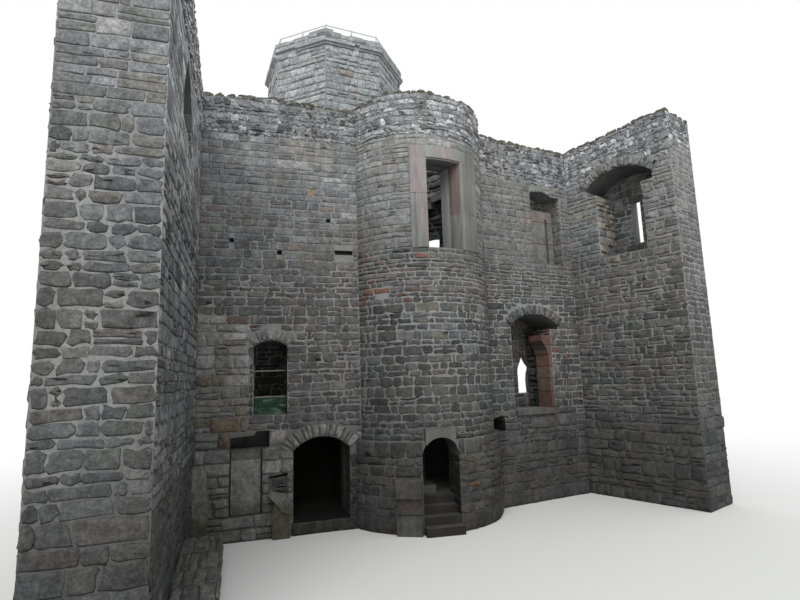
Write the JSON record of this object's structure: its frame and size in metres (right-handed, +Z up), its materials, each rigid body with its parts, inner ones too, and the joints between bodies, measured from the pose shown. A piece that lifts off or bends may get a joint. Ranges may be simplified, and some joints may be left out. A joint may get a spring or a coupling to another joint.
{
  "type": "castle keep ruin",
  "caption": "Ruined castle ward wall with a round stair turret, arched doorways and windows, and an eight-sided keep with a parapet rising behind it.",
  "frame": {"origin": "centre of the plan box at the foot of the walls", "axes": "+Z up, -Y toward the courtyard and the viewer, +X to the viewer's right along the left bay"},
  "size_m": [16.2094, 15.0872, 17.05],
  "materials": {
    "ward_rubble": "rough coursed rubble with pale mortar",
    "dark_rubble": "rough dark rubble",
    "keep_ashlar": "bossed ashlar",
    "dressed_stone": "dressed grey sandstone",
    "red_sandstone": "dressed red sandstone",
    "mossy_slab": "smooth slab with moss at its foot",
    "iron": "weathered iron",
    "green_mesh": "green painted wire mesh"
  },
  "bodies": {
    "root": {"keep_wall_1": "keep_ashlar", "keep_wall_2": "keep_ashlar", "keep_wall_3": "keep_ashlar", "keep_wall_4": "keep_ashlar", "keep_wall_5": "keep_ashlar", "keep_wall_6": "keep_ashlar", "keep_wall_7": "keep_ashlar", "keep_wall_8": "keep_ashlar", "keep_cornice": "keep_ashlar", "keep_parapet": "keep_ashlar", "keep_platform": "dressed_stone", "keep_railing": "iron", "cellar_vault": "dark_rubble", "passage_wall": "dark_rubble", "left_wall": "ward_rubble", "left_bay_lower": "ward_rubble", "left_bay_middle": "ward_rubble", "left_bay_upper": "ward_rubble", "left_door_arch": "ward_rubble", "left_window_arch": "ward_rubble", "window_rails": "iron", "window_mesh": "green_mesh", "niche_slab": "mossy_slab", "leaning_slabs": "mossy_slab", "footing_stub": "dark_rubble", "turret_base_left": "ward_rubble", "turret_base_right": "ward_rubble", "turret_shaft": "ward_rubble", "turret_window_wall": "ward_rubble", "turret_head": "ward_rubble", "turret_door_head": "dressed_stone", "turret_jamb_stones": "dressed_stone", "turret_steps": "dark_rubble", "turret_window_jambs": "red_sandstone", "turret_window_lintel": "red_sandstone", "stair_flight_1": "dressed_stone", "stair_flight_2": "dressed_stone", "stair_flight_3": "dressed_stone", "right_bay_lower": "ward_rubble", "right_bay_middle": "ward_rubble", "right_bay_upper": "ward_rubble", "right_door_arch": "ward_rubble", "right_door_jamb": "red_sandstone", "right_threshold": "dressed_stone", "right_inner_wall": "ward_rubble", "right_window_frame": "dressed_stone", "right_wall": "ward_rubble", "right_recess_arch": "ward_rubble"}
  },
  "joints": []
}
